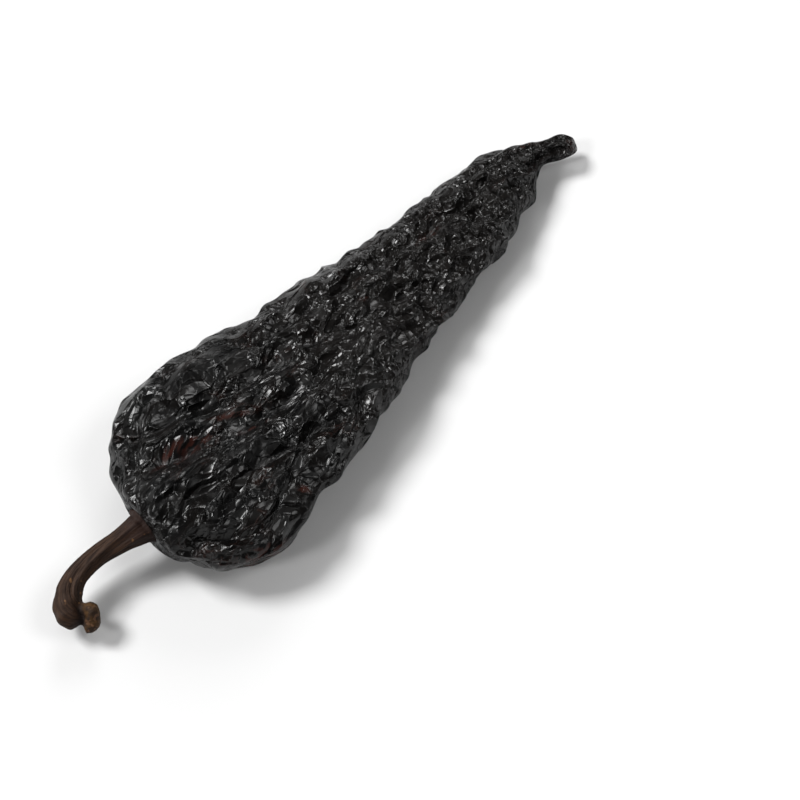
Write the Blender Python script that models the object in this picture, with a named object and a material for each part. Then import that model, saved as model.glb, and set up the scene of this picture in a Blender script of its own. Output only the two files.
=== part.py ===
"""A dried, smoked chili lying on its side: a flattened, wrinkled pod and its hooked stem.

Lengths are in millimetres while the shapes are worked out, and in metres in the objects.
+X runs from the stem to the pod's tip, +Y to the pod's left as it points away, +Z up.
Both pieces are drawn with the pod's stem end above the origin, and then placed together so that
the origin lies under the middle of the whole, on the surface it rests on.
"""

import math

import bpy
import numpy as np
from mathutils import Vector, noise

MM = 0.001

# The pod's rings: middle's place along and across, half width, half height, and turn in degrees.
# The first three line the pocket that the calyx sits in, and the last is the tip.
POD_RINGS = (
    (2.3, 0.0, 0.0, 0.0, 0),
    (2.2, 0.0, 2.6, 2.3, 0),
    (1.5, 0.0, 4.5, 3.8, 0),
    (0.5, -0.3, 5.8, 4.4, 0),
    (1.1, -0.7, 8.8, 4.9, 0),
    (3.4, -0.8, 12.4, 5.8, 0),
    (6.2, -0.8, 15.5, 6.5, 0),
    (9.8, -1.0, 17.8, 6.9, 0),
    (15.0, -0.5, 18.1, 7.0, 0),
    (22.5, 0.0, 16.9, 6.9, 0),
    (31.0, -0.9, 16.0, 6.6, 0),
    (41.0, -1.0, 13.7, 6.2, 0),
    (51.0, 0.1, 12.2, 5.7, 0),
    (61.0, -0.4, 10.5, 5.2, 0),
    (71.0, 0.0, 9.2, 4.7, 0),
    (80.0, -0.1, 8.2, 4.2, 0),
    (88.5, 0.9, 6.5, 3.5, -4),
    (92.5, 0.9, 5.4, 2.9, -8),
    (96.2, 0.7, 3.7, 2.4, -16),
    (99.6, 0.1, 2.3, 2.0, -30),
    (103.3, -1.8, 2.5, 2.0, -37),
    (105.4, -3.0, 2.0, 1.6, -37),
    (106.2, -3.4, 0.0, 0.0, -37),
)
POD_ROWS = 92
POD_SIDES = 52
GIRTH_FLATNESS = 2.4          # the width over height that spaces the points evenly round a ring
SHOULDER_SLANT = 0.16         # how far along the left shoulder lies ahead of the right, per distance across
SHOULDER_LENGTH = 16.0        # how far along that fades out
TIP_LIFT = 1.6                # the tip's underside above the surface
TIP_LIFT_START = 78.0
SKIN_CLEARANCE = 0.45         # the unwrinkled underside above the surface, which only wrinkles reach

# Long folds in the skin: +1 on the top or -1 on the underside, depth, half width, points of the line.
FOLDS = (
    (+1, 2.4, 2.2, ((5.0, 5.6), (8.1, 3.8), (13.8, 0.6), (20.7, -1.6), (30.2, -3.6), (37.0, -4.6))),
    (+1, 1.6, 1.2, ((4.2, -3.2), (9.1, -6.0), (14.6, -7.9), (20.5, -9.0), (27.8, -10.9), (33.5, -11.6))),
    (+1, 2.0, 1.6, ((1.0, -9.6), (3.4, -11.6), (6.8, -14.4), (10.4, -16.2))),
    (+1, 2.6, 3.2, ((9.0, 9.8), (15.0, 8.0), (20.0, 6.3), (27.0, 4.4), (37.9, 1.5), (58.0, -2.8))),
    (+1, 1.8, 1.4, ((11.2, 13.4), (8.6, 10.4), (5.2, 8.0), (2.6, 6.6))),
    (+1, 1.5, 1.8, ((44.0, 6.6), (55.0, 4.6), (66.0, 3.4), (78.0, 1.2), (88.0, 1.6))),
    (+1, 1.3, 1.3, ((30.0, 10.0), (38.0, 8.0), (46.0, 6.4))),
    (-1, 2.4, 2.6, ((6.0, -4.0), (16.0, -6.0), (28.0, -5.0), (44.0, -3.0), (60.0, 0.5))),
    (-1, 2.0, 2.0, ((8.0, 7.0), (18.0, 9.0), (32.0, 7.0), (46.0, 5.0))),
    (-1, 1.6, 1.6, ((58.0, -5.0), (70.0, -3.0), (84.0, -1.0))),
)
FOLD_SHARPNESS = 1.4          # power of the distance in a fold's profile
FOLD_END_DEPTH = 0.35         # share of its depth that a fold has at its ends

# Wrinkles, coarse to fine: length and width of a facet at the shoulder, and how high they stand.
DENT_CELL, DENT_HEIGHT = (17.0, 11.0), 1.4
CRUMPLE_CELL, CRUMPLE_HEIGHT, CRUMPLE_SEED = (11.0, 6.4), 2.4, 30.0
CRINKLE_CELL, CRINKLE_HEIGHT, CRINKLE_SEED = (5.4, 3.6), 1.5, 110.0
CELL_TAPER = 0.0055           # share of its size that a facet loses for each millimetre further along
BEND_CELL, BEND = 9.0, 1.8    # the winding of the creases: its cell and how far it shifts them
BEND_SPREAD = 5.3             # how far apart in the noise its three directions are read
CALYX_WRINKLE_SIZES = (5.8, 9.5)  # half widths of the rings where wrinkles start and have full height
TAIL_WRINKLE_SIZES = (0.0, 6.0)   # the same towards the tip

# Pleats gathered towards an end: how many, how high, and the half width of ring where they have faded out.
CALYX_PLEATS = (9, 0.5, 13.0)
TAIL_PLEATS = (7, 0.35, 6.0)
PLEAT_FADE_START = 0.4        # share of that half width up to which they are at full height

# The flat spot that the pod rests on, under its weight, and the height up to which the skin is pressed.
FLAT_ALONG, FLAT_ACROSS, FLAT_RADIUS = 36.0, -0.5, 7.0
FLAT_PRESS, FLAT_PRESS_TOP = 2.2, 4.0

# The stem's middle line from its swollen, broken end to the calyx, which is the last five rows:
# place along, across and up, and the radius there.
STEM_RINGS = (
    (-16.1, -4.9, 4.3, 0.0),
    (-16.2, -4.6, 4.3, 2.0),
    (-16.4, -3.4, 4.4, 2.8),
    (-16.6, -1.6, 4.5, 2.8),
    (-16.3, 0.2, 4.7, 2.4),
    (-14.6, 1.7, 5.1, 1.95),
    (-11.7, 2.4, 5.7, 1.65),
    (-7.8, 2.1, 6.4, 1.6),
    (-3.7, 1.0, 7.0, 1.85),
    (-1.5, 0.3, 7.3, 2.35),
    (-0.2, 0.0, 7.4, 2.9),
    (0.6, 0.0, 7.4, 3.6),
    (1.2, 0.0, 7.4, 3.5),
    (1.7, 0.0, 7.4, 2.2),
    (1.8, 0.0, 7.4, 0.0),
)
STEM_ROWS = 56
STEM_SIDES = 28
STEM_FACING = 3               # rows to either side that set which way a ring of the stem faces
STEM_RIDGES, STEM_RIDGE_HEIGHT, STEM_TWIST = 7, 0.13, 0.05
CALYX_SCALES, CALYX_SCALLOP, CALYX_FLATNESS = 5, 0.07, 0.86
CALYX_EDGE = -1.0             # how far along the calyx has narrowed to the bare stem
KNOB_LENGTH, KNOB_CELL, KNOB_LUMPS = 7.0, 1.9, 0.75


def catmull_rom(points, steps):
    """The smooth curve through rows of points, with this many steps from each point to the next."""
    points = np.array(points, float)
    ends = np.vstack([2 * points[0] - points[1], points, 2 * points[-1] - points[-2]])
    share = np.linspace(0, 1, steps, endpoint=False)[:, None]
    rows = []
    for a, b, c, d in zip(ends, ends[1:], ends[2:], ends[3:]):
        rows.append(0.5 * (2 * b + (c - a) * share + (2 * a - 5 * b + 4 * c - d) * share**2
                           + (3 * b - a - 3 * c + d) * share**3))
    return np.vstack(rows + [points[-1:]])


def evenly(rows, columns, count):
    """This many rows, evenly spaced along the path that the given columns of the rows draw."""
    steps = np.linalg.norm(np.diff(rows[:, columns], axis=0), axis=1)
    length = np.concatenate([[0], np.cumsum(steps)])
    wanted = np.linspace(0, length[-1], count)
    return np.column_stack([np.interp(wanted, length, column) for column in rows.T])


def smooth_step(low, high, value):
    share = np.clip((value - low) / (high - low), 0, 1)
    return share * share * (3 - 2 * share)


def ring_angles(sides, flatness):
    """Angles that put points about evenly round an ellipse this many times wider than high."""
    fine = np.linspace(0, 2 * math.pi, 721)
    outline = np.column_stack([flatness * np.cos(fine), np.sin(fine)])
    return evenly(np.column_stack([outline, fine]), [0, 1], sides + 1)[:-1, 2]


def pod_form():
    """The unwrinkled pod: its grid of ring points, the rings' half widths and the points' angles."""
    rows = evenly(catmull_rom(POD_RINGS, 24), [0, 2], POD_ROWS)
    along, across, half_width, half_height, turn = (column[:, None] for column in rows.T)
    half_width, half_height = np.maximum(half_width, 0), np.maximum(half_height, 0)
    angle = ring_angles(POD_SIDES, GIRTH_FLATNESS)[None, :]
    aside = half_width * np.cos(angle)
    slant = SHOULDER_SLANT * (1 - smooth_step(0, SHOULDER_LENGTH, along))
    x = along + aside * (slant - np.sin(np.radians(turn)))
    y = across + aside * np.cos(np.radians(turn))
    level = half_height.copy()
    level[:half_height.argmax()] = half_height.max()
    lift = TIP_LIFT * smooth_step(TIP_LIFT_START, along[-1], along)
    z = SKIN_CLEARANCE + level + lift + half_height * np.sin(angle)
    return np.stack([x, y, z], axis=2), half_width, angle


def outward(form):
    """Unit directions out of a grid of ring points."""
    girth = np.roll(form, -1, axis=1) - np.roll(form, 1, axis=1)
    normal = np.cross(girth, np.gradient(form, axis=0))
    return normal / np.maximum(np.linalg.norm(normal, axis=2, keepdims=True), 1e-9)


def dents(points):
    """Height of the broad dents at each point, about -1 to 1."""
    length, width = DENT_CELL
    return np.array([noise.noise(Vector(place)) for place in points / (length, width, width)])


def winding(point, seed):
    """How far the winding of the creases shifts a point."""
    place = point / BEND_CELL
    return BEND * Vector([noise.noise(place + Vector((seed, 0, axis * BEND_SPREAD))) for axis in range(3)])


def facets(points, size, seed):
    """Height of crumpled skin at each point: flat facets between the creases of two nets of cells.

    The squared distance to the nearest of some scattered spots is a bowl round each spot. One such
    height less another leaves no bowls, only flat facets with a crease along each cell's border.
    """
    heights = []
    for point in map(Vector, points):
        along, across, up = point + winding(point, seed)
        scale = 1 - CELL_TAPER * along
        place = Vector((-math.log(scale) / (CELL_TAPER * size[0]), across / (scale * size[1]),
                        up / (scale * size[1])))
        valley = noise.voronoi(place + Vector((0, seed, 0)))[0][0]
        crest = noise.voronoi(place + Vector((0, 0, seed)))[0][0]
        heights.append(scale * (crest**2 - valley**2))
    return np.array(heights)


def fold_depth(points, upward):
    """How far the long folds draw the skin in at each point, given how far each point faces up."""
    depth = np.zeros(len(points))
    for side, deep, wide, line in FOLDS:
        path = catmull_rom(line, 8)
        gaps = np.linalg.norm(points[:, None, :2] - path[None], axis=2)
        nearest = gaps.argmin(axis=1)
        from_end = np.minimum(nearest, len(path) - 1 - nearest) / len(path)
        full = np.clip(FOLD_END_DEPTH + 4 * from_end, 0, 1) * smooth_step(-0.1, 0.45, side * upward)
        depth += deep * full * np.exp(-(gaps.min(axis=1) / wide) ** FOLD_SHARPNESS)
    return depth


def pleats(angle, half_width, gather):
    """Height of the pleats gathered towards an end of the pod."""
    count, height, faded = gather
    return height * np.cos(count * angle) * (1 - smooth_step(PLEAT_FADE_START * faded, faded, half_width))


def pod_points():
    """The wrinkled pod as a grid of ring points."""
    form, half_width, angle = pod_form()
    normal = outward(form)
    points = form.reshape(-1, 3)
    widest = half_width.argmax()
    row = np.arange(POD_ROWS)[:, None]
    relief = DENT_HEIGHT * dents(points) - fold_depth(points, normal[..., 2].ravel())
    relief += CRUMPLE_HEIGHT * facets(points, CRUMPLE_CELL, CRUMPLE_SEED)
    relief += CRINKLE_HEIGHT * facets(points, CRINKLE_CELL, CRINKLE_SEED)
    relief = relief.reshape(POD_ROWS, POD_SIDES)
    relief += np.where(row < widest, pleats(angle, half_width, CALYX_PLEATS),
                       pleats(angle, half_width, TAIL_PLEATS))
    share = np.where(row < widest, smooth_step(*CALYX_WRINKLE_SIZES, half_width),
                     smooth_step(*TAIL_WRINKLE_SIZES, half_width))
    return pressed_flat(form + normal * (relief * share)[..., None])


def pressed_flat(grid):
    """The pod's points pressed in under its weight, and flat where they would go below the surface."""
    away = np.hypot(grid[..., 0] - FLAT_ALONG, grid[..., 1] - FLAT_ACROSS) / FLAT_RADIUS
    press = np.where(grid[..., 2] < FLAT_PRESS_TOP, FLAT_PRESS * np.exp(-(away**4)), 0)
    grid[..., 2] = np.maximum(grid[..., 2] - press, 0)
    return grid


def stem_points():
    """The stem as a grid of ring points, from its broken end to the calyx in the pod's pocket."""
    rows = evenly(catmull_rom(STEM_RINGS, 16), [0, 1, 2, 3], STEM_ROWS)
    centre, radius = rows[:, :3], np.maximum(rows[:, 3:], 0)
    travelled = np.concatenate([[0], np.cumsum(np.linalg.norm(np.diff(centre, axis=0), axis=1))])[:, None]
    padded = np.pad(centre, ((STEM_FACING, STEM_FACING), (0, 0)), "edge")
    ahead = padded[2 * STEM_FACING:] - padded[:-2 * STEM_FACING]
    ahead /= np.linalg.norm(ahead, axis=1, keepdims=True)
    aside = np.cross((0, 0, 1), ahead)
    aside /= np.linalg.norm(aside, axis=1, keepdims=True)
    over = np.cross(ahead, aside)
    angle = np.linspace(0, 2 * math.pi, STEM_SIDES, endpoint=False)[None, :]
    calyx = smooth_step(CALYX_EDGE, 0, centre[:, :1])
    flatness = 1 - (1 - CALYX_FLATNESS) * calyx
    direction = (np.cos(angle)[..., None] * aside[:, None]
                 + (flatness * np.sin(angle))[..., None] * over[:, None])
    ridges = STEM_RIDGE_HEIGHT * np.cos(STEM_RIDGES * (angle + STEM_TWIST * travelled))
    scallops = CALYX_SCALLOP * calyx * np.cos(CALYX_SCALES * angle)
    reach = radius * (1 + scallops) + ridges * (1 - calyx) * smooth_step(0, 1.5, radius)
    smooth = centre[:, None] + reach[..., None] * direction
    bumps = np.array([noise.noise(Vector(place)) for place in smooth.reshape(-1, 3) / KNOB_CELL])
    knob = (1 - smooth_step(KNOB_LENGTH / 2, KNOB_LENGTH, travelled)) * smooth_step(0, 2, radius)
    return smooth + direction * (KNOB_LUMPS * knob * bumps.reshape(reach.shape))[..., None]


def ring_mesh(name, grid):
    """A closed mesh through a grid of ring points whose first and last rings have shrunk to a point."""
    rings = grid[1:-1]
    rows, sides = rings.shape[:2]
    points = [grid[0].mean(axis=0), *rings.reshape(-1, 3), grid[-1].mean(axis=0)]
    last_row = 1 + (rows - 1) * sides
    faces = []
    for side in range(sides):
        after = (side + 1) % sides
        faces.append((0, 1 + after, 1 + side))
        faces.append((len(points) - 1, last_row + side, last_row + after))
        for here in range(1, last_row, sides):
            ahead = here + sides
            faces.append((here + side, here + after, ahead + after, ahead + side))
    mesh = bpy.data.meshes.new(name)
    mesh.from_pydata([tuple(point * MM) for point in points], [], faces)
    mesh.shade_smooth()
    return mesh


def finish(name, colour, roughness):
    made = bpy.data.materials.new(name)
    made.use_nodes = True
    shader = made.node_tree.nodes["Principled BSDF"]
    shader.inputs["Base Color"].default_value = (*colour, 1)
    shader.inputs["Roughness"].default_value = roughness
    shader.inputs["Metallic"].default_value = 0
    return made


def add_object(name, grid, material, origin):
    """An object through a grid of ring points, moved so that this place lies at the world's origin."""
    made = bpy.data.objects.new(name, ring_mesh(name, grid))
    made.location = Vector(-origin * MM)
    made.data.materials.append(material)
    bpy.context.scene.collection.objects.link(made)


def main():
    for old in list(bpy.data.objects):
        bpy.data.objects.remove(old)
    pod, stem = pod_points(), stem_points()
    every = np.vstack([pod.reshape(-1, 3), stem.reshape(-1, 3)])
    origin = (every.min(axis=0) + every.max(axis=0)) / 2
    origin[2] = every[:, 2].min()
    add_object("pod", pod, finish("black_skin", (0.013, 0.011, 0.011), 0.3), origin)
    add_object("stem", stem, finish("brown_stem", (0.045, 0.027, 0.018), 0.7), origin)


main()
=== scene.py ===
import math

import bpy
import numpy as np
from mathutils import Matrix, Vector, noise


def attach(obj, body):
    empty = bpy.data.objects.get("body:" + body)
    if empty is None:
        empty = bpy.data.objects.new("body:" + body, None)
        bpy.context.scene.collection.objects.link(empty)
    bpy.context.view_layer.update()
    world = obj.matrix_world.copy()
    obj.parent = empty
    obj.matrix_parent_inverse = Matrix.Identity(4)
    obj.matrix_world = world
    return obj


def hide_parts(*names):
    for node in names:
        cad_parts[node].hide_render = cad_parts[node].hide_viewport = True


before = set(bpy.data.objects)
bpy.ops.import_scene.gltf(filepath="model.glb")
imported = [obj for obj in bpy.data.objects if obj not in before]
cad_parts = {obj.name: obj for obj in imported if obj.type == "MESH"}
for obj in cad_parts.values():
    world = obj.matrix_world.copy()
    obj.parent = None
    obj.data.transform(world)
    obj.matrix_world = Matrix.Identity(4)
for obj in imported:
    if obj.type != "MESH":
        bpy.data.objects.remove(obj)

# The look of a dried, smoked chili: its crumpled, glossy black skin and its woody brown stem.
#
# Shapes are drawn in millimetres where part.py draws them, with the pod's stem end above the origin,
# and moved from there into the frame. Both pieces repeat the part's own formula on a finer grid. The
# skin is then wrinkled as real skin is: it is a sheet too large for the flesh that has dried under it.

MM = 0.001
ORIGIN = np.array((43.4195, -0.3782, 0.0))  # the frame's origin, in the place where the part is drawn

# The pod's rings, as in part.py, but drawn closer round the stem and rounder at the tip: the middle's
# place along and across, half width, half height, and turn in degrees.
POD_RINGS = (
    (1.4, 0.0, 0.0, 0.0, 0),
    (0.8, 0.0, 2.8, 2.5, 0),
    (0.1, 0.0, 3.9, 3.5, 0),
    (0.2, -0.3, 5.6, 4.3, 0),
    (1.1, -0.7, 8.8, 4.9, 0),
    (3.4, -0.8, 12.4, 5.8, 0),
    (6.2, -0.8, 15.5, 6.5, 0),
    (9.8, -1.0, 17.8, 6.9, 0),
    (15.0, -0.5, 18.1, 7.0, 0),
    (22.5, 0.0, 16.9, 6.9, 0),
    (31.0, -0.9, 16.0, 6.6, 0),
    (41.0, -1.0, 13.7, 6.2, 0),
    (51.0, 0.1, 12.2, 5.7, 0),
    (61.0, -0.4, 10.5, 5.2, 0),
    (71.0, 0.0, 9.2, 4.7, 0),
    (80.0, -0.1, 8.2, 4.2, 0),
    (88.5, 0.9, 6.5, 3.5, -4),
    (92.5, 0.9, 5.4, 2.9, -8),
    (96.2, 0.7, 3.7, 2.4, -16),
    (99.6, 0.1, 2.3, 2.0, -30),
    (102.8, -1.5, 2.4, 1.9, -37),
    (104.6, -2.6, 2.1, 1.7, -37),
    (105.8, -3.2, 1.3, 1.1, -37),
    (106.3, -3.5, 0.0, 0.0, -37),
)
GIRTH_FLATNESS = 2.4                   # the width over height that spaces the points evenly round a ring
SHOULDER_SLANT = 0.16                  # how far along the left shoulder lies ahead, per distance across
SHOULDER_LENGTH = 16.0                 # how far along that fades out
TIP_LIFT, TIP_LIFT_START = 1.6, 78.0   # the tip's underside above the surface, and where it starts to rise
SKIN_CLEARANCE = 0.45                  # the unwrinkled underside above the surface

# Long folds: +1 on the top or -1 on the underside, depth, half width, points of the line.
FOLDS = (
    (+1, 2.4, 2.2, ((5.0, 5.6), (8.1, 3.8), (13.8, 0.6), (20.7, -1.6), (30.2, -3.6), (37.0, -4.6))),
    (+1, 1.6, 1.2, ((4.2, -3.2), (9.1, -6.0), (14.6, -7.9), (20.5, -9.0), (27.8, -10.9), (33.5, -11.6))),
    (+1, 2.0, 1.6, ((1.0, -9.6), (3.4, -11.6), (6.8, -14.4), (10.4, -16.2))),
    (+1, 2.6, 3.2, ((9.0, 9.8), (15.0, 8.0), (20.0, 6.3), (27.0, 4.4), (37.9, 1.5), (58.0, -2.8))),
    (+1, 1.8, 1.4, ((11.2, 13.4), (8.6, 10.4), (5.2, 8.0), (2.6, 6.6))),
    (+1, 1.5, 1.8, ((44.0, 6.6), (55.0, 4.6), (66.0, 3.4), (78.0, 1.2), (88.0, 1.6))),
    (+1, 1.3, 1.3, ((30.0, 10.0), (38.0, 8.0), (46.0, 6.4))),
    (-1, 2.4, 2.6, ((6.0, -4.0), (16.0, -6.0), (28.0, -5.0), (44.0, -3.0), (60.0, 0.5))),
    (-1, 2.0, 2.0, ((8.0, 7.0), (18.0, 9.0), (32.0, 7.0), (46.0, 5.0))),
    (-1, 1.6, 1.6, ((58.0, -5.0), (70.0, -3.0), (84.0, -1.0))),
)
FOLD_SHARPNESS = 1.4                   # the power of the distance in a fold's profile
FOLD_END_DEPTH, FOLD_END_RISE = 0.35, 4   # the share of its depth at its ends, and how fast that rises
FOLD_FACING = (-0.1, 0.45)             # how far the skin faces a fold's side where it starts and is whole

# Wrinkles, coarse to fine: length and width of a facet at the shoulder, height, and place in the noise.
DENT_CELL, DENT_HEIGHT = (17.0, 11.0), 1.4
CRUMPLE_CELL, CRUMPLE_HEIGHT, CRUMPLE_SEED = (11.0, 6.4), 2.4, 30.0
CRINKLE_CELL, CRINKLE_HEIGHT, CRINKLE_SEED = (5.4, 3.6), 1.5, 110.0
CREASE_CELL, CREASE_HEIGHT, CREASE_SEED = (3.8, 2.8), 1.0, 190.0   # finer than the part's own
CELL_TAPER = 0.0055                    # share of its size that a facet loses for each millimetre along
BEND_CELL, BEND = 9.0, 1.8             # the winding of the creases: its cell and how far it shifts them
BEND_SPREAD = 5.3                      # how far apart in the noise its three directions are read
CALYX_WRINKLE_SIZES = (5.8, 9.5)       # half widths of the rings where wrinkles start and have full height
TAIL_WRINKLE_SIZES = (0.0, 4.0)        # the same towards the tip

# Pleats gathered towards an end: how many, how high, and the half width of ring where they have faded out.
CALYX_PLEATS = (9, 0.5, 13.0)
TAIL_PLEATS = (7, 0.35, 6.0)
PLEAT_FADE_START = 0.4                 # share of that half width up to which they are at full height

# The flat spot that the pod rests on, and the height up to which the skin is pressed.
FLAT_ALONG, FLAT_ACROSS, FLAT_RADIUS = 36.0, -0.5, 7.0
FLAT_PRESS, FLAT_PRESS_TOP = 2.2, 4.0

SKIN_ROWS, SKIN_SIDES = 421, 232       # odd, so that every second row leaves both ends in; and even
TIP_DENSITY = 1.6                      # how much closer the rows lie at the tip than at the shoulder

# The share of the part's relief that is kept. The wrinkling below makes up for the rest.
DENT_SHARE, CRUMPLE_SHARE, CRINKLE_SHARE, FOLD_SHARE = 0.6, 0.4, 0.7, 0.85

# The wrinkling, on every second point and then on all of them: how much too large the skin is along
# the pod and round it, its stiffness against bending, how firmly the flesh holds it, and the steps.
BROAD_WRINKLES = (0.010, 0.03, 0.04, 0.0014, 300)
FINE_WRINKLES = (0.055, 0.065, 0.02, 0.0012, 450)
SHAKE = 0.02                           # the small unevenness that the wrinkles grow from
STEP_RATE, STEP_MOMENTUM = 0.11, 0.93
END_FREEDOM = 3                        # how fast the skin comes free of its fixed ends

# The creasing: how nearly two faces must face the same way to be drawn together, the steps that turn the
# faces, and the steps that then move the points onto them.
CREASING = (0.72, 16, 22)

# How the wrinkles differ from place to place.
LENGTHWAYS = (15.0, 60.0, 0.2)         # from where to where the growth along rises, and from what share
HOLD_TAPER = 3                         # how fast the flesh's hold fades towards the tip
SHOULDER_EVEN = (20.0, 50.0, 0.65)     # from where to where the facets get higher, and from what share
TAIL_FOLDS = (78.0, 90.0)              # from where to where the facets give way to folds along the tail
TAIL_EVEN = 0.6                        # how much lower the facets are there
TAIL_GROWN_LESS = 0.4                  # how much less the skin has grown round the tail there
LONG_CELL, LONG_HEIGHT, LONG_SEED = (11.0, 3.4), 1.9, 250.0   # long creases at the shoulder and the tail
LONG_AT_SHOULDER = 0.35                # the share of that height at the shoulder
LONG_FADE = (24.0, 40.0)               # from where to where those at the shoulder fade out
PATCH_CELL, PATCH_LEAST = 9.0, 0.35    # patches where the skin has grown less, and the least share there
PATCH_EDGE = (0.1, 0.8)                # the noise from a patch's middle to where the growth is whole

EMBER_FACING = (-0.6, 0.3)             # how far the skin faces a patch's side where it starts and is whole

# Patches where the skin is thin and red-brown: place along and across, half length, half width, turn in
# degrees, +1 on the top, -1 on the underside or 0 on both, and how strong it is.
EMBERS = (
    (11.8, 2.4, 5.0, 1.7, -20, 1, 1.0),
    (22.5, 0.2, 6.0, 0.9, -27, 1, 0.6),
    (23.0, -3.4, 4.0, 0.8, -20, 1, 0.5),
    (9.6, -19.2, 6.0, 2.0, -30, 0, 0.9),
    (4.0, 12.5, 5.0, 1.2, 55, 0, 0.5),
    (52.8, 0.0, 2.0, 1.2, 10, 1, 0.5),
    (70.5, 1.4, 4.0, 1.8, 5, 1, 0.5),
    (98.6, 2.2, 3.0, 0.7, -20, 1, 0.6),
    (104.8, -3.4, 1.6, 2.0, -37, 0, 0.6),
    (20.3, -15.7, 1.4, 0.8, -20, 1, 0.6),
    (24.0, -8.0, 7.0, 2.0, -10, -1, 0.9),
    (14.0, 9.0, 5.0, 2.0, 10, -1, 0.7),
    (56.0, 2.0, 8.0, 1.6, -4, -1, 0.8),
    (84.0, -3.0, 4.0, 1.4, -8, -1, 0.6),
)

# From where to where the skin grows glossier and lighter and loses its fine lines.
GLOSS_RISE = (28.0, 48.0)
HOLLOW_REACH, HOLLOW_DEPTH = 40, 0.5   # how many points away a hollow is measured, and a full one's depth

# The skin's finest facets, as bumps: the size of a cell, how steep it is, how high the lines along its
# crests stand, and its place in the noise.
FINE_FACETS = ((2.8, 0.38, 0.10, 0.0), (1.4, 0.22, 0.07, 40.0))
CREST_WIDTH = 0.17                     # half the width of the sharp lines along the facets' crests
CREST_GAPS = (0.44, 0.60)              # the noise where those lines are gone and where they are whole
FACET_STRETCH = (0.45, 0.8)            # the share of the way along that their measure counts, at each end
FACET_DRIFT = 3.0                      # how far noise shifts them
GRAIN_HEIGHT = 0.004

# Patches where the smaller of these facets are lower: the noise in a patch's middle and at its edge, and
# the share of the height that is left in its middle.
SMOOTHED = (0.35, 0.6, 0.35)

# Thin raised lines that wind over the shoulder: how far apart, how wide in the noise, how high, and their
# place in the noise.
FINE_LINES = ((4.5, 0.022, 0.10, 70.0), (2.4, 0.030, 0.06, 90.0))
LINE_GAPS = (0.46, 0.58)

# The skin's colours: what it is blotched from and to, and then what is laid over that.
SKIN_BLACKS = ((0.0016, 0.0016, 0.0016, 1), (0.0036, 0.0030, 0.0027, 1))
SKIN_LIGHTER, LIGHTER_SHARE = (0.0064, 0.0056, 0.0052, 1), 0.8   # beyond the shoulder
CREST_RED, CREST_RED_SHARE = (0.020, 0.0075, 0.005, 1), 0.6      # here and there on the crests
EMBER_RED, EMBER_REACH = (0.024, 0.0072, 0.005, 1), 1.2          # in the red-brown patches
# Painted shade: the skin's colour is darkened in its hollows, where shade falls.
HOLLOW_PAINTED_SHADE, HOLLOW_SHADE_SHARE = (0.0010, 0.0008, 0.0008, 1), 0.6    # in the hollows
HOLLOW_TONES = (0.2, 1.0)              # how deep a hollow is where it starts to darken and is darkest
SKIN_PLAIN = ((0.003, 0.0027, 0.0026), 0.35)   # the plain colour and roughness under the nodes

SKIN_SPECULAR, SKIN_ROUGHNESS = 0.25, (0.17, 0.28)
SHOULDER_DULLER, HOLLOW_DULLER = 0.03, 0.12   # how much rougher the skin is there

# The stem's middle line from its swollen, broken end to the calyx, which is the last five rows: place
# along, across and up, and the radius there.
STEM_RINGS = (
    (-16.1, -4.9, 4.3, 0.0),
    (-16.2, -4.6, 4.3, 2.0),
    (-16.4, -3.4, 4.4, 2.8),
    (-16.6, -1.6, 4.5, 2.8),
    (-16.3, 0.2, 4.7, 2.4),
    (-14.6, 1.7, 5.1, 1.95),
    (-11.7, 2.4, 5.7, 1.65),
    (-7.8, 2.1, 6.4, 1.6),
    (-3.7, 1.0, 7.0, 1.85),
    (-1.5, 0.3, 7.3, 2.3),
    (-0.4, 0.0, 7.4, 2.6),
    (0.2, 0.0, 7.4, 3.1),
    (0.8, 0.0, 7.4, 3.1),
    (1.7, 0.0, 7.4, 2.0),
    (1.8, 0.0, 7.4, 0.0),
)
STEM_ROWS, STEM_SIDES = 300, 144
STEM_FACING = 16                       # how many rows either way a ring's direction is taken from
STEM_RIDGES, STEM_RIDGE_HEIGHT = 7, 0.13
STEM_TWIST = 0.05                      # how far the ridges and the fibres turn for each millimetre
CALYX_SCALES, CALYX_SCALLOP = 5, 0.07  # how many scales its edge has, and the share that they stand out
CALYX_FLATNESS, CALYX_EDGE = 0.86, -1.0   # its height over its width, and where along it begins
KNOB_LENGTH, KNOB_CELL, KNOB_LUMPS = 7.0, 1.9, 0.35   # the broken end: its length, lumps' size and height
STEM_RELIEF_SIZES = (0.0, 1.5)         # the radii where the relief starts and is whole

# Fibres along the stem: how many fit round it by about six, how long they are, and how high they stand.
FIBRES = ((3.0, 9.0, 0.06), (7.0, 7.0, 0.07), (15.0, 5.0, 0.05))
CRUMB_LENGTH = 2.6                     # how far from the broken end it is crumbly
CRUMBS = ((1.1, 0.22), (0.45, 0.12))   # the size of the crumbs and how high they stand
CRUMBS_ON_KNOB = 0.25                  # the share of their height further along the knob

# The knob's two rounded lobes, brown and then ochre: the ends of the line inside it, and how thick it is.
LOBES = (
    ((-16.6, 0.3, 4.6), (-17.1, -0.9, 4.3), 2.35),
    ((-15.1, -3.1, 4.7), (-16.0, -4.0, 4.0), 1.6),
)
LOBE_LENGTH = (3.5, 7.5)               # how far from the broken end the stem takes the lobes' shape
LOBE_BLEND, LOBE_PULLS = 0.9, 4        # how widely they melt together, and how often the points are moved
# The cleft between the lobes is cut in and also darkened with painted shade.
CLEFT_WIDTH, CLEFT_DEPTH = 1.0, 0.9    # the dark cleft between them
OCHRE_EDGE = (-0.3, 0.8)               # how much nearer the second lobe is where ochre starts and is whole
OCHRE_RAGGED = 0.5                     # how far the knob's lumps shift that edge
CALYX_RED = (-5.0, 0.0)                # from where to where along the stem turns red-brown

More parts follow.
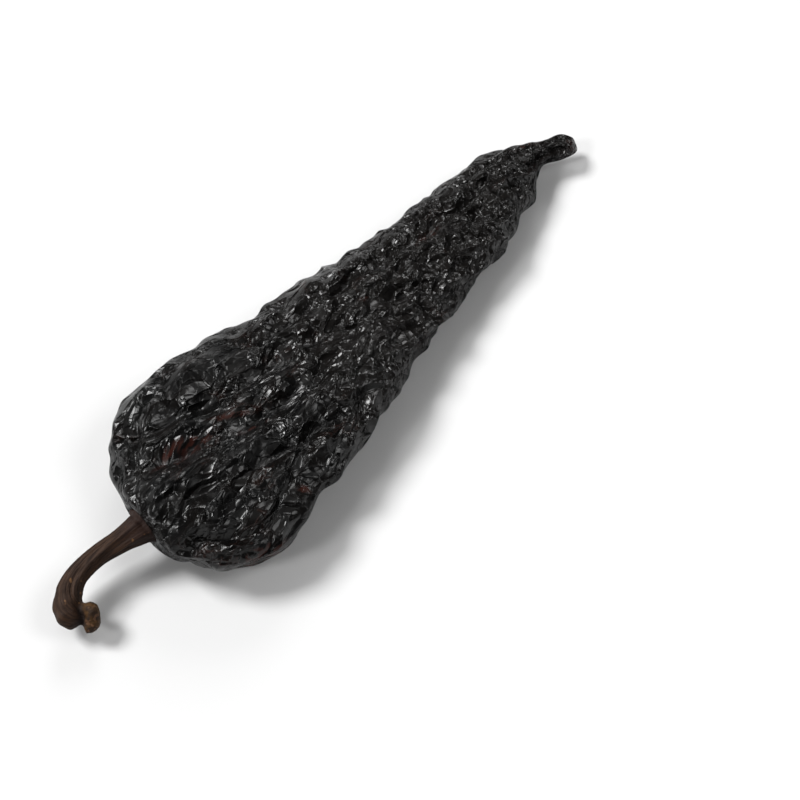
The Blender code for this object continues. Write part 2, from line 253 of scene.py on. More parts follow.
# The stem's colours: each pair is what the wood, and the ochre lobe, is streaked from and to.
WOOD_BROWNS = ((0.0093, 0.0041, 0.0024, 1), (0.0320, 0.0150, 0.0073, 1))
OCHRES = ((0.0173, 0.0080, 0.0033, 1), (0.0520, 0.0247, 0.0073, 1))
FIBRE_BROWN, FIBRE_SHARE = (0.0413, 0.0220, 0.0127, 1), 0.5
CALYX_BROWN, CALYX_SHARE = (0.0140, 0.0057, 0.0043, 1), 0.75
SPECK_PALE, SPECK_SHARE = (0.1333, 0.0667, 0.0280, 1), 0.7
CRUMB_PALE, CRUMB_SHARE = (0.1067, 0.0533, 0.0280, 1), 0.7
# Painted shade in the cleft between the knob's lobes.
CLEFT_PAINTED_SHADE, CLEFT_SHADE_SHARE = (0.0067, 0.0033, 0.0023, 1), 0.9
STEM_PLAIN = ((0.045, 0.027, 0.018), 0.7)

STEM_SPECULAR = 0.15
STEM_ROUGHNESS = (0.75, 0.55)          # in the dark streaks and in the light ones
FIBRE_HEIGHT, WOOD_GRAIN_HEIGHT = 0.06, 0.05

# The camera, in the place where the part is drawn: where it stands, what it looks at, and its lens.
CAMERA_PLACE, CAMERA_AIM, CAMERA_LENS = (-72.435, -116.136, 273.549), (46.947, -12.738, 0.0), 85

# Soft lights: which way each lies as seen from above, in degrees from +X, its height in degrees, how
# wide it looks in degrees, and its strength.
LIGHTS = (
    ("key", 110, 50, 20, 3.8),
    ("back", 35, 30, 26, 1.1),
    ("fill", -50, 48, 26, 1.0),
    ("side", 165, 42, 14, 1.0),
    ("top", 20, 70, 70, 0.3),
)
SKY = 0.05

FLOOR_HALF = 4.0                       # half its side, in metres
FLOOR_LOOK = ((0.6, 0.6, 0.6), 0.9)    # its colour and roughness


def catmull_rom(points, steps):
    """The smooth curve through rows of points, with this many steps from each point to the next."""
    points = np.array(points, float)
    ends = np.vstack([2 * points[0] - points[1], points, 2 * points[-1] - points[-2]])
    share = np.linspace(0, 1, steps, endpoint=False)[:, None]
    rows = []
    for a, b, c, d in zip(ends, ends[1:], ends[2:], ends[3:]):
        rows.append(0.5 * (2 * b + (c - a) * share + (2 * a - 5 * b + 4 * c - d) * share**2
                           + (3 * b - a - 3 * c + d) * share**3))
    return np.vstack(rows + [points[-1:]])


def spaced(rows, columns, count, density=None):
    """This many rows, evenly spaced along the path of the given columns, or closer by the density."""
    steps = np.linalg.norm(np.diff(rows[:, columns], axis=0), axis=1)
    if density is not None:
        steps = steps * (density[1:] + density[:-1]) / 2
    length = np.concatenate([[0], np.cumsum(steps)])
    wanted = np.linspace(0, length[-1], count)
    return np.column_stack([np.interp(wanted, length, column) for column in rows.T])


def smooth_step(low, high, value):
    share = np.clip((value - low) / (high - low), 0, 1)
    return share * share * (3 - 2 * share)


def unit(vectors):
    return vectors / np.maximum(np.linalg.norm(vectors, axis=-1, keepdims=True), 1e-9)


def outward(form):
    """Unit directions out of a grid of ring points."""
    girth = np.roll(form, -1, axis=1) - np.roll(form, 1, axis=1)
    return unit(np.cross(girth, np.gradient(form, axis=0)))


def ring_angles(sides, flatness):
    """Angles that put points about evenly round an ellipse this many times wider than high."""
    fine = np.linspace(0, 2 * math.pi, 1441)
    outline = np.column_stack([flatness * np.cos(fine), np.sin(fine), fine])
    return spaced(outline, [0, 1], sides + 1)[:-1, 2]


def pod_form():
    """The unwrinkled pod: its grid of ring points, the rings' half widths and the points' angles."""
    rows = catmull_rom(POD_RINGS, 48)
    rows = spaced(rows, [0, 2], SKIN_ROWS, 1 + (TIP_DENSITY - 1) * rows[:, 0] / rows[-1, 0])
    along, across, half_width, half_height, turn = (column[:, None] for column in rows.T)
    half_width, half_height = np.maximum(half_width, 0), np.maximum(half_height, 0)
    angle = ring_angles(SKIN_SIDES, GIRTH_FLATNESS)[None, :]
    aside = half_width * np.cos(angle)
    slant = SHOULDER_SLANT * (1 - smooth_step(0, SHOULDER_LENGTH, along))
    x = along + aside * (slant - np.sin(np.radians(turn)))
    y = across + aside * np.cos(np.radians(turn))
    level = half_height.copy()
    level[:half_height.argmax()] = half_height.max()
    lift = TIP_LIFT * smooth_step(TIP_LIFT_START, along[-1], along)
    z = SKIN_CLEARANCE + level + lift + half_height * np.sin(angle)
    return np.stack([x, y, z], axis=2), half_width, angle


def winding(point, seed):
    """How far the winding of the creases shifts a point."""
    place = point / BEND_CELL
    return BEND * Vector([noise.noise(place + Vector((seed, 0, axis * BEND_SPREAD))) for axis in range(3)])


def facets(points, size, seed):
    """Height of crumpled skin at each point: flat facets between the creases of two nets of cells."""
    heights = []
    for point in map(Vector, points):
        along, across, up = point + winding(point, seed)
        scale = 1 - CELL_TAPER * along
        place = Vector((-math.log(scale) / (CELL_TAPER * size[0]), across / (scale * size[1]),
                        up / (scale * size[1])))
        valley = noise.voronoi(place + Vector((0, seed, 0)))[0][0]
        crest = noise.voronoi(place + Vector((0, 0, seed)))[0][0]
        heights.append(scale * (crest**2 - valley**2))
    return np.array(heights)


def fold_depth(points, upward):
    """How far the long folds draw the skin in at each point, given how far each point faces up."""
    depth = np.zeros(len(points))
    for side, deep, wide, line in FOLDS:
        path = catmull_rom(line, 8)
        gaps = np.linalg.norm(points[:, None, :2] - path[None], axis=2)
        nearest = gaps.argmin(axis=1)
        from_end = np.minimum(nearest, len(path) - 1 - nearest) / len(path)
        full = np.clip(FOLD_END_DEPTH + FOLD_END_RISE * from_end, 0, 1)
        full = full * smooth_step(*FOLD_FACING, side * upward)
        depth += deep * full * np.exp(-(gaps.min(axis=1) / wide) ** FOLD_SHARPNESS)
    return depth


def pleats(angle, half_width, gather):
    """Height of the pleats gathered towards an end of the pod."""
    count, height, faded = gather
    return height * np.cos(count * angle) * (1 - smooth_step(PLEAT_FADE_START * faded, faded, half_width))


def pressed_flat(grid):
    """The pod's points pressed in under its weight, and flat where they would go below the surface."""
    away = np.hypot(grid[..., 0] - FLAT_ALONG, grid[..., 1] - FLAT_ACROSS) / FLAT_RADIUS
    press = np.where(grid[..., 2] < FLAT_PRESS_TOP, FLAT_PRESS * np.exp(-(away**4)), 0)
    grid[..., 2] = np.maximum(grid[..., 2] - press, 0)
    return grid


def noise_at(points, cell):
    """Smooth noise at each point, about -1 to 1, with cells of this size."""
    return np.array([noise.noise(Vector(place)) for place in points / cell])


def neighbour(grid, rows, sides):
    """Each point's neighbour this many rows ahead and sides round; the end rows have themselves."""
    moved = np.roll(grid, -sides, axis=1) if sides else grid
    if rows == 1:
        return np.concatenate([moved[1:], moved[-1:]])
    if rows == -1:
        return np.concatenate([moved[:1], moved[:-1]])
    return moved


def above_mean(grid):
    """Each point less the mean of its four neighbours."""
    around = neighbour(grid, 1, 0) + neighbour(grid, -1, 0) + neighbour(grid, 0, 1) + neighbour(grid, 0, -1)
    return grid - around / 4


def wrinkled(grid, free, grown, wrinkles):
    """The grid as a sheet that is too large for what it lies on and buckles into wrinkles.

    Every point is tied to its place and to its neighbours, and its ties to them are longer than the
    room between them. free is 0 where the sheet is fixed, and grown holds the shares of the growth
    along the pod and round it, and of the hold.
    """
    along, round_it, stiffness, hold, steps = wrinkles
    place = grid.astype(np.float32)
    hold = (hold * grown[..., 2:]).astype(np.float32)
    ties = []
    for rows, sides in ((1, 0), (0, 1), (1, 1), (1, -1)):
        growth = grown[..., 0] * along * rows + grown[..., 1] * round_it * abs(sides)
        growth = growth / (rows + abs(sides))
        length = np.linalg.norm(neighbour(place, rows, sides) - place, axis=2)
        ties.append((rows, sides, (length * (1 + growth)).astype(np.float32)))
    unevenness = np.random.default_rng(1).normal(0, SHAKE, grid.shape[:2])
    skin = (grid + outward(grid) * unevenness[..., None]).astype(np.float32)
    free = free.astype(np.float32)[..., None]
    before = skin
    for _ in range(steps):
        force = hold * (place - skin)
        for rows, sides, length in ties:
            gap = neighbour(skin, rows, sides) - skin
            size = np.sqrt((gap * gap).sum(axis=2)) + 1e-6
            pull = (1 - length / size)[..., None] * gap
            if rows:
                pull[-1:] = 0
            force += pull
            back = np.roll(pull, sides, axis=1) if sides else pull
            if rows:
                force[1:] -= back[:-1]
            else:
                force -= back
        force -= stiffness * above_mean(above_mean(skin))
        before, skin = skin, skin + free * (STEP_RATE * force + STEP_MOMENTUM * (skin - before))
    return skin.astype(float)


def creased(grid, free, sharpness, spread, pulls):
    """The grid with its round wrinkles drawn into flat facets that meet in sharp creases.

    First each face turns to face as those of its neighbours do that face much the same way, this many
    times (spread). Then the points move onto the turned faces, this many times (pulls), where free
    isn't 0.
    """
    ahead, aside, opposite = neighbour(grid, 1, 0), neighbour(grid, 0, 1), neighbour(grid, 1, 1)
    facing = unit(np.cross(opposite - grid, aside - ahead))[:-1]
    for _ in range(spread):
        total = np.zeros_like(facing)
        for rows in (-1, 0, 1):
            for sides in (-1, 0, 1):
                other = neighbour(facing, rows, sides)
                alike = np.clip((other * facing).sum(axis=2) - sharpness, 0, None) ** 2
                total += alike[..., None] * other
        facing = unit(total)
    for _ in range(pulls):
        middle = (grid + neighbour(grid, 1, 0) + neighbour(grid, 0, 1) + neighbour(grid, 1, 1))[:-1] / 4
        move = np.zeros_like(grid)
        for rows in (0, 1):
            for sides in (0, 1):
                centre, normal = np.roll(middle, sides, axis=1), np.roll(facing, sides, axis=1)
                if rows:
                    gap = centre - grid[1:]
                    move[1:] += normal * (normal * gap).sum(axis=2)[..., None]
                else:
                    gap = centre - grid[:-1]
                    move[:-1] += normal * (normal * gap).sum(axis=2)[..., None]
        grid = grid + free[..., None] * move / 4
    return grid


def doubled(grid):
    """The grid with a new row and side halfway between each two."""
    sides = np.stack([grid, (grid + np.roll(grid, -1, axis=1)) / 2], axis=2)
    sides = sides.reshape(len(grid), -1, grid.shape[2])
    result = np.empty((2 * len(grid) - 1, *sides.shape[1:]))
    result[::2] = sides
    result[1::2] = (sides[1:] + sides[:-1]) / 2
    return result


def crumple_place(points):
    """Each point in the wrinkles' own measure, in which they are as large at the tip as at the shoulder."""
    scale = 1 - CELL_TAPER * points[..., :1]
    shortest, longest = FACET_STRETCH
    stretch = shortest + (longest - shortest) * points[..., :1] / points[..., 0].max()
    return np.concatenate([-np.log(scale) / CELL_TAPER * stretch, points[..., 1:] / scale], axis=2)


def ember(form):
    """How red-brown the thin skin is at each point: in the drawn patches, and here and there below."""
    share = np.zeros(form.shape[:2])
    for along, across, long, wide, turn, side, strength in EMBERS:
        x, y = form[..., 0] - along, form[..., 1] - across
        turn = math.radians(turn)
        ahead, aside = x * math.cos(turn) + y * math.sin(turn), y * math.cos(turn) - x * math.sin(turn)
        facing = smooth_step(*EMBER_FACING, side * outward(form)[..., 2]) if side else 1
        share = np.maximum(share, strength * facing * np.exp(-(ahead / long) ** 2 - (aside / wide) ** 2))
    return share


def hollow(skin):
    """How far each point lies below the skin around it, from -1 on a crest to 1 in a hollow."""
    around = skin
    for _ in range(HOLLOW_REACH):
        around = around - 0.5 * above_mean(around)
    below = ((around - skin) * outward(around)).sum(axis=2)
    return np.clip(below / HOLLOW_DEPTH, -1, 1)


def pod_skin():
    """The pod's skin as a grid of ring points, and each point's place in the wrinkles' measure."""
    form, half_width, angle = pod_form()
    normal = outward(form)
    points = form.reshape(-1, 3)
    widest = half_width.argmax()
    row = np.arange(SKIN_ROWS)[:, None]
    tail = smooth_step(*TAIL_FOLDS, form[..., 0])
    start, end, least = SHOULDER_EVEN
    even = (1 - TAIL_EVEN * tail) * (least + (1 - least) * smooth_step(start, end, form[..., 0]))
    even = even.ravel()
    relief = DENT_SHARE * DENT_HEIGHT * noise_at(points / (DENT_CELL[0], DENT_CELL[1], DENT_CELL[1]), 1.0)
    relief -= FOLD_SHARE * fold_depth(points, normal[..., 2].ravel())
    relief += CRUMPLE_SHARE * CRUMPLE_HEIGHT * even * facets(points, CRUMPLE_CELL, CRUMPLE_SEED)
    relief += CRINKLE_SHARE * CRINKLE_HEIGHT * even * facets(points, CRINKLE_CELL, CRINKLE_SEED)
    relief += CREASE_HEIGHT * even * facets(points, CREASE_CELL, CREASE_SEED)
    long = np.maximum(tail, LONG_AT_SHOULDER * (1 - smooth_step(*LONG_FADE, form[..., 0]))).ravel()
    relief += LONG_HEIGHT * long * facets(points, LONG_CELL, LONG_SEED)
    relief = relief.reshape(SKIN_ROWS, SKIN_SIDES)
    relief += np.where(row < widest, pleats(angle, half_width, CALYX_PLEATS),
                       pleats(angle, half_width, TAIL_PLEATS))
    share = np.where(row < widest, smooth_step(*CALYX_WRINKLE_SIZES, half_width),
                     smooth_step(*TAIL_WRINKLE_SIZES, half_width))
    skin = form + normal * (relief * share)[..., None]
    free = np.minimum(1, END_FREEDOM * share) * np.ones((1, SKIN_SIDES))
    patches = 0.5 + noise_at(points, PATCH_CELL).reshape(SKIN_ROWS, SKIN_SIDES)
    patches = PATCH_LEAST + (1 - PATCH_LEAST) * smooth_step(*PATCH_EDGE, patches)
    start, end, least = LENGTHWAYS
    lengthways = least + (1 - least) * smooth_step(start, end, form[..., 0]) * (1 - tail)
    around = patches * (1 - TAIL_GROWN_LESS * tail)
    hold = (1 - CELL_TAPER * form[..., 0]) ** HOLD_TAPER
    grown = np.stack([patches * lengthways, around, hold], axis=2)
    coarse = skin[::2, ::2]
    skin = skin + doubled(wrinkled(coarse, free[::2, ::2], grown[::2, ::2], BROAD_WRINKLES) - coarse)
    skin = wrinkled(skin, free, grown, FINE_WRINKLES)
    skin = creased(skin, free, *CREASING)
    skin = pressed_flat(skin)
    tone = np.stack([ember(form), hollow(skin), smooth_step(*GLOSS_RISE, form[..., 0])], axis=2)
    return skin, {"crumple_place": crumple_place(form), "tone": tone}


def lobed(points, share):
    """The points moved onto the knob's two lobes, and how much nearer each is to the second one."""
    for _ in range(LOBE_PULLS):
        gaps, ways = [], []
        for start, end, thickness in LOBES:
            start, line = np.array(start), np.subtract(end, start)
            nearest = start + np.clip((points - start) @ line / (line @ line), 0, 1)[..., None] * line
            ways.append(unit(points - nearest))
            gaps.append(np.linalg.norm(points - nearest, axis=2) - thickness)
        second = np.clip(0.5 + 0.5 * (gaps[0] - gaps[1]) / LOBE_BLEND, 0, 1)
        gap = gaps[0] + second * (gaps[1] - gaps[0]) - LOBE_BLEND * second * (1 - second)
        way = unit(ways[0] + second[..., None] * (ways[1] - ways[0]))
        points = points - (share * gap)[..., None] * way
    return points, gaps[0] - gaps[1]


def stem_points():
    """The stem as a grid of ring points, from its broken end to the calyx in the pod's pocket.

    With it come each point's place round and along the stem, and how much it is red-brown calyx, ochre lobe
    and cleft, which is darkened with painted shade.
    """
    rows = spaced(catmull_rom(STEM_RINGS, 40), [0, 1, 2, 3], STEM_ROWS)
    centre, radius = rows[:, :3], np.maximum(rows[:, 3:], 0)
    travelled = np.concatenate([[0], np.cumsum(np.linalg.norm(np.diff(centre, axis=0), axis=1))])[:, None]
    padded = np.pad(centre, ((STEM_FACING, STEM_FACING), (0, 0)), "edge")
    ahead = unit(padded[2 * STEM_FACING:] - padded[:-2 * STEM_FACING])
    aside = unit(np.cross((0, 0, 1), ahead))
    over = np.cross(ahead, aside)
    angle = np.linspace(0, 2 * math.pi, STEM_SIDES, endpoint=False)[None, :]
    calyx = smooth_step(CALYX_EDGE, 0, centre[:, :1])
    flatness = 1 - (1 - CALYX_FLATNESS) * calyx
    direction = (np.cos(angle)[..., None] * aside[:, None]
                 + (flatness * np.sin(angle))[..., None] * over[:, None])
    ridges = STEM_RIDGE_HEIGHT * np.cos(STEM_RIDGES * (angle + STEM_TWIST * travelled))
    scallops = CALYX_SCALLOP * calyx * np.cos(CALYX_SCALES * angle)
    relief_share = smooth_step(*STEM_RELIEF_SIZES, radius)
    reach = radius * (1 + scallops) + ridges * (1 - calyx) * relief_share
    smooth = centre[:, None] + reach[..., None] * direction
    end_share = 1 - smooth_step(*LOBE_LENGTH, travelled)
    smooth, second = lobed(smooth, end_share)
    bumps = noise_at(smooth.reshape(-1, 3), KNOB_CELL).reshape(reach.shape)
    knob = (1 - smooth_step(KNOB_LENGTH / 2, KNOB_LENGTH, travelled)) * smooth_step(0, 2, radius)
    relief = KNOB_LUMPS * knob * bumps
    turned = angle + STEM_TWIST * travelled
    around = np.stack([np.cos(turned), np.sin(turned), travelled + 0 * turned], axis=2)
    fibrous = relief_share * smooth_step(0.5 * KNOB_LENGTH, KNOB_LENGTH, travelled)
    for count, length, height in FIBRES:
        strands = noise_at((around * (count, count, 1 / length)).reshape(-1, 3), 1.0).reshape(reach.shape)
        relief = relief + height * fibrous * (2 * np.abs(strands) - 0.4)
    crumbly = (1 - smooth_step(0.6 * CRUMB_LENGTH, CRUMB_LENGTH, travelled)) * smooth_step(0, 1, radius)
    for size, height in CRUMBS:
        crumbs = noise_at(smooth.reshape(-1, 3), size).reshape(reach.shape)
        relief = relief + height * (CRUMBS_ON_KNOB * knob + (1 - CRUMBS_ON_KNOB) * crumbly) * crumbs
    outer = np.clip(0.5 - 0.5 * direction[..., 0] + 0.5 * direction[..., 2], 0, 1)
    cleft = np.exp(-(second / CLEFT_WIDTH) ** 2) * outer * end_share
    grid = smooth + direction * (relief - CLEFT_DEPTH * cleft)[..., None]
    zones = np.stack([smooth_step(*CALYX_RED, centre[:, :1]) + 0 * angle,
                      smooth_step(*OCHRE_EDGE, second + OCHRE_RAGGED * bumps) * end_share, cleft], axis=2)
    return grid, {"around": around, "zones": zones}


def ring_piece(name, grid, material, traits):
    """A closed piece through a grid of ring points whose first and last rings have shrunk to a point."""
    rings = grid[1:-1]
    rows, sides = rings.shape[:2]
    points = np.vstack([grid[0].mean(axis=0), rings.reshape(-1, 3), grid[-1].mean(axis=0)])
    side = np.arange(sides)
    after = (side + 1) % sides
    last_row = 1 + (rows - 1) * sides
    here = 1 + sides * np.arange(rows - 1)[:, None]
    quads = np.stack([here + side, here + after, here + sides + after, here + sides + side], axis=2)
    faces = quads.reshape(-1, 4).tolist()
    faces += np.column_stack([0 * side, 1 + after, 1 + side]).tolist()
    faces += np.column_stack([0 * side + len(points) - 1, last_row + side, last_row + after]).tolist()
    mesh = bpy.data.meshes.new(name)
    mesh.from_pydata(((points - ORIGIN) * MM).tolist(), [], faces)
    mesh.shade_smooth()
    mesh.materials.append(material)
    for trait, values in traits.items():
        values = np.vstack([values[0].mean(axis=0), values[1:-1].reshape(-1, 3), values[-1].mean(axis=0)])
        made = mesh.attributes.new(trait, "FLOAT_VECTOR", "POINT")
        made.data.foreach_set("vector", values.ravel())
    piece = bpy.data.objects.new(name, mesh)
    bpy.context.scene.collection.objects.link(piece)
    return piece


def plain_material(name, colour, roughness):
    made = bpy.data.materials.new(name)
    made.use_nodes = True
    shader = made.node_tree.nodes["Principled BSDF"]
    shader.inputs["Base Color"].default_value = (*colour, 1)
    shader.inputs["Roughness"].default_value = roughness
    return made


class Nodes:
    """Short ways to add a material's nodes. Each gives back the new node's output, to be fed on."""

    def __init__(self, material):
        self.tree = material.node_tree
        self.shader = self.tree.nodes["Principled BSDF"]

    def feed(self, socket, value):
        if isinstance(value, bpy.types.NodeSocket):
            self.tree.links.new(value, socket)
        else:
            socket.default_value = value

    def add(self, kind, inputs, **settings):
        made = self.tree.nodes.new(kind)
        for name, value in settings.items():
            setattr(made, name, value)
        for name, value in inputs.items():
            self.feed(made.inputs[name], value)
        return made

    def attribute(self, name):
        return self.add("ShaderNodeAttribute", {}, attribute_name=name).outputs["Vector"]

    def math(self, operation, a, b=0.0, c=0.0):
        return self.add("ShaderNodeMath", {0: a, 1: b, 2: c}, operation=operation).outputs[0]

    def vector(self, operation, a, b):
        return self.add("ShaderNodeVectorMath", {0: a, 1: b}, operation=operation).outputs[0]

    def noise(self, place, scale, detail, output="Fac"):
        made = self.add("ShaderNodeTexNoise", {"Vector": place, "Scale": scale, "Detail": detail})
        return made.outputs[output]

    def split(self, value):
        return self.add("ShaderNodeSeparateXYZ", {"Vector": value}).outputs

    def spots(self, place):
        """Squared distance to the nearest of some scattered spots."""
        made = self.add("ShaderNodeTexVoronoi", {"Vector": place, "Scale": 1.0})
        return self.math("MULTIPLY", made.outputs["Distance"], made.outputs["Distance"])

    def to_border(self, place):
        """Distance to the nearest border between the same spots' cells."""
        made = self.add("ShaderNodeTexVoronoi", {"Vector": place, "Scale": 1.0}, feature="DISTANCE_TO_EDGE")
        return made.outputs["Distance"]

    def between(self, value, low, high, out_low=0.0, out_high=1.0):
        """The value's way from low to high, eased and clamped, as a number from out_low to out_high."""
        return self.add("ShaderNodeMapRange", {"Value": value, "From Min": low, "From Max": high,
                                               "To Min": out_low, "To Max": out_high},
                        interpolation_type="SMOOTHSTEP").outputs["Result"]

    def mix(self, share, a, b):
        made = self.add("ShaderNodeMix", {"Factor": share}, data_type="RGBA")
        self.feed(made.inputs["A"], a)
        self.feed(made.inputs["B"], b)
        return made.outputs["Result"]


def skin_material():
    """Glossy black skin in fine flat facets with sharp crests, red-brown where it is thin, and darkened
    with painted shade in its hollows.

    The numbers left in the calls are the scales, details, shifts and thresholds of the noise.
    """
    made = plain_material("black_skin", *SKIN_PLAIN)
    nodes = Nodes(made)
    nodes.shader.inputs["Specular IOR Level"].default_value = SKIN_SPECULAR
    place = nodes.attribute("crumple_place")
    tone = nodes.split(nodes.attribute("tone"))
    crinkled = nodes.between(nodes.noise(place, 0.13, 1.0), *SMOOTHED, 1.0)
    drift = nodes.vector("SUBTRACT", nodes.noise(place, 0.22, 1.0, "Color"), (0.5, 0.5, 0.5))
    place = nodes.vector("ADD", place, nodes.vector("MULTIPLY", drift, (FACET_DRIFT,) * 3))
    height, crests = 0.0, 0.0
    for cell, slope, line, offset in FINE_FACETS:
        spot = nodes.vector("ADD", nodes.vector("MULTIPLY", place, (1 / cell,) * 3), (offset, 0.0, 0.0))
        crest = nodes.spots(spot)
        valley = nodes.spots(nodes.vector("ADD", spot, (0.0, 31.7, 12.3)))
        facet = nodes.math("MULTIPLY", nodes.math("SUBTRACT", crest, valley), slope * cell)
        line_share = nodes.between(nodes.to_border(spot), 0.0, CREST_WIDTH / cell, 1.0, 0.0)
        broken = nodes.between(nodes.noise(spot, 1.3, 1.0), *CREST_GAPS)
        line_share = nodes.math("MULTIPLY", line_share, broken)
        facet = nodes.math("MULTIPLY_ADD", line_share, line, facet)
        height = nodes.math("MULTIPLY_ADD", facet, crinkled if offset else 1.0, height)
        crests = nodes.math("MAXIMUM", crests, line_share)
    shoulder = nodes.between(tone["Z"], 0.0, 1.0, 1.0, 0.0)
    for spacing, width, line, offset in FINE_LINES:
        spot = nodes.vector("ADD", nodes.vector("MULTIPLY", place, (1 / spacing,) * 3), (offset, 0.0, 0.0))
        off_line = nodes.math("ABSOLUTE", nodes.math("SUBTRACT", nodes.noise(spot, 1.0, 1.5), 0.5))
        winding_line = nodes.between(off_line, 0.0, width, 1.0, 0.0)
        broken = nodes.between(nodes.noise(spot, 0.7, 1.0), *LINE_GAPS)
        winding_line = nodes.math("MULTIPLY", winding_line, nodes.math("MULTIPLY", broken, shoulder))
        height = nodes.math("MULTIPLY_ADD", winding_line, line, height)
        crests = nodes.math("MAXIMUM", crests, winding_line)
    height = nodes.math("MULTIPLY_ADD", nodes.noise(place, 5.0, 3.0), GRAIN_HEIGHT, height)
    bump = nodes.add("ShaderNodeBump", {"Height": height, "Distance": MM, "Strength": 1.0})
    nodes.feed(nodes.shader.inputs["Normal"], bump.outputs["Normal"])

    blotches = nodes.noise(place, 0.3, 4.0)
    colour = nodes.mix(nodes.between(blotches, 0.35, 0.7), *SKIN_BLACKS)
    colour = nodes.mix(nodes.math("MULTIPLY", tone["Z"], LIGHTER_SHARE), colour, SKIN_LIGHTER)
    here_and_there = nodes.between(nodes.noise(place, 0.16, 2.0), 0.55, 0.72, 0.0, CREST_RED_SHARE)
    colour = nodes.mix(nodes.math("MULTIPLY", crests, here_and_there), colour, CREST_RED)
    ragged = nodes.between(nodes.noise(place, 0.9, 3.0), 0.38, 0.62, 0.0, EMBER_REACH)
    ragged = nodes.math("MULTIPLY", tone["X"], ragged)
    colour = nodes.mix(nodes.between(ragged, 0.15, 0.75), colour, EMBER_RED)
    # Painted shade: the colour is darker in the hollows.
    colour = nodes.mix(nodes.between(tone["Y"], *HOLLOW_TONES, 0.0, HOLLOW_SHADE_SHARE), colour, HOLLOW_PAINTED_SHADE)
    nodes.feed(nodes.shader.inputs["Base Color"], colour)
    roughness = nodes.between(nodes.noise(place, 0.35, 3.0), 0.3, 0.7, *SKIN_ROUGHNESS)
    roughness = nodes.math("MULTIPLY_ADD", shoulder, SHOULDER_DULLER, roughness)
    duller = nodes.between(tone["Y"], *HOLLOW_TONES, 0.0, HOLLOW_DULLER)
    nodes.feed(nodes.shader.inputs["Roughness"], nodes.math("ADD", roughness, duller))
    return made


def stem_material():
    """Brown, fibrous wood: red-brown by the pod, and ochre at the broken end, with painted shade in the
    cleft there.
    """
    made = plain_material("brown_stem", *STEM_PLAIN)
    nodes = Nodes(made)
    nodes.shader.inputs["Specular IOR Level"].default_value = STEM_SPECULAR
    around = nodes.attribute("around")
    zones = nodes.split(nodes.attribute("zones"))
    place = nodes.add("ShaderNodeTexCoord", {}).outputs["Object"]
    streaks = nodes.noise(nodes.vector("MULTIPLY", around, (5.0, 5.0, 0.35)), 1.0, 4.0)
    fibres = nodes.noise(nodes.vector("MULTIPLY", around, (20.0, 20.0, 0.6)), 1.0, 3.0)
    grain = nodes.noise(place, 2500.0, 3.0)
    wood = nodes.mix(nodes.between(streaks, 0.3, 0.7), *WOOD_BROWNS)
    wood = nodes.mix(nodes.between(fibres, 0.45, 0.75, 0.0, FIBRE_SHARE), wood, FIBRE_BROWN)
    wood = nodes.mix(nodes.math("MULTIPLY", zones["X"], CALYX_SHARE), wood, CALYX_BROWN)
    ochre = nodes.mix(nodes.between(nodes.noise(place, 900.0, 3.0), 0.35, 0.65), *OCHRES)
    wood = nodes.mix(zones["Y"], wood, ochre)
    specks = nodes.between(nodes.noise(place, 900.0, 1.0), 0.69, 0.76, 0.0, SPECK_SHARE)
    wood = nodes.mix(specks, wood, SPECK_PALE)
    crumbs = nodes.math("MULTIPLY", nodes.between(nodes.noise(place, 1300.0, 1.0), 0.56, 0.66), zones["Y"])
    wood = nodes.mix(nodes.math("MULTIPLY", crumbs, CRUMB_SHARE), wood, CRUMB_PALE)
    # Painted shade: the cleft between the lobes is darkened.
    wood = nodes.mix(nodes.between(zones["Z"], 0.25, 0.8, 0.0, CLEFT_SHADE_SHARE), wood, CLEFT_PAINTED_SHADE)
    nodes.feed(nodes.shader.inputs["Base Color"], wood)
    nodes.feed(nodes.shader.inputs["Roughness"], nodes.between(streaks, 0.3, 0.7, *STEM_ROUGHNESS))
    height = nodes.math("MULTIPLY", grain, WOOD_GRAIN_HEIGHT)
    height = nodes.math("MULTIPLY_ADD", fibres, FIBRE_HEIGHT, height)
    bump = nodes.add("ShaderNodeBump", {"Height": height, "Distance": MM, "Strength": 1.0})
    nodes.feed(nodes.shader.inputs["Normal"], bump.outputs["Normal"])
    return made


def in_frame(place):
    """A place in millimetres where the part is drawn, as metres in the frame."""
    return Vector((np.array(place, float) - ORIGIN) * MM)


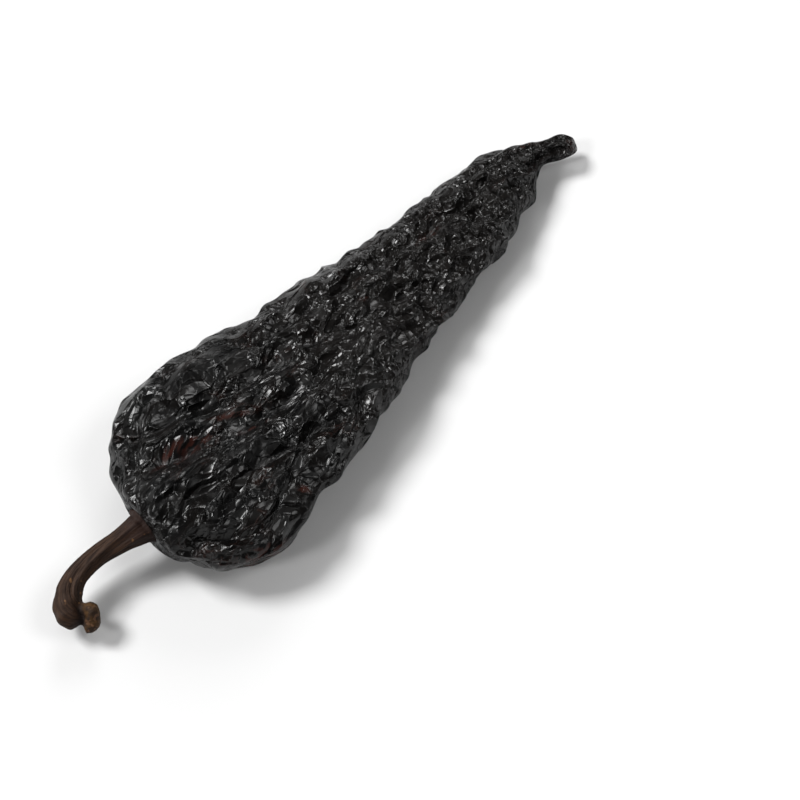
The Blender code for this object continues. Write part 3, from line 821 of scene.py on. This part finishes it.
def add_camera():
    camera = bpy.data.objects.new("camera", bpy.data.cameras.new("camera"))
    camera.data.lens = CAMERA_LENS
    camera.data.clip_start = 0.01
    camera.location = in_frame(CAMERA_PLACE)
    ahead = in_frame(CAMERA_AIM) - camera.location
    camera.rotation_euler = ahead.to_track_quat("-Z", "Y").to_euler()
    bpy.context.scene.collection.objects.link(camera)
    bpy.context.scene.camera = camera


def add_light():
    for name, heading, height, width, strength in LIGHTS:
        lamp = bpy.data.lights.new(name, "SUN")
        lamp.energy, lamp.angle = strength, math.radians(width)
        made = bpy.data.objects.new(name, lamp)
        heading, height = math.radians(heading), math.radians(height)
        towards = Vector((math.cos(heading) * math.cos(height), math.sin(heading) * math.cos(height),
                          math.sin(height)))
        made.rotation_euler = towards.to_track_quat("Z", "Y").to_euler()
        bpy.context.scene.collection.objects.link(made)
    world = bpy.data.worlds.new("studio")
    world.use_nodes = True
    world.node_tree.nodes["Background"].inputs["Color"].default_value = (1, 1, 1, 1)
    world.node_tree.nodes["Background"].inputs["Strength"].default_value = SKY
    bpy.context.scene.world = world


def add_floor():
    half = FLOOR_HALF
    corners = [(-half, -half, 0), (half, -half, 0), (half, half, 0), (-half, half, 0)]
    mesh = bpy.data.meshes.new("floor")
    mesh.from_pydata(corners, [], [(0, 1, 2, 3)])
    mesh.materials.append(plain_material("pale_floor", *FLOOR_LOOK))
    floor = bpy.data.objects.new("floor", mesh)
    bpy.context.scene.collection.objects.link(floor)


def main():
    for name in ("Cube", "Camera", "Light"):
        if name in bpy.data.objects:
            bpy.data.objects.remove(bpy.data.objects[name])
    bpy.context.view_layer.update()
    grid, traits = pod_skin()
    skin = ring_piece("pod_skin", grid, skin_material(), traits)
    grid, traits = stem_points()
    stem = ring_piece("stem_wood", grid, stem_material(), traits)
    for piece, node in ((skin, "pod"), (stem, "stem")):
        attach(piece, "root")
        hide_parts(node)
    add_floor()
    add_camera()
    add_light()
    bpy.context.scene.view_settings.view_transform = "Standard"


main()
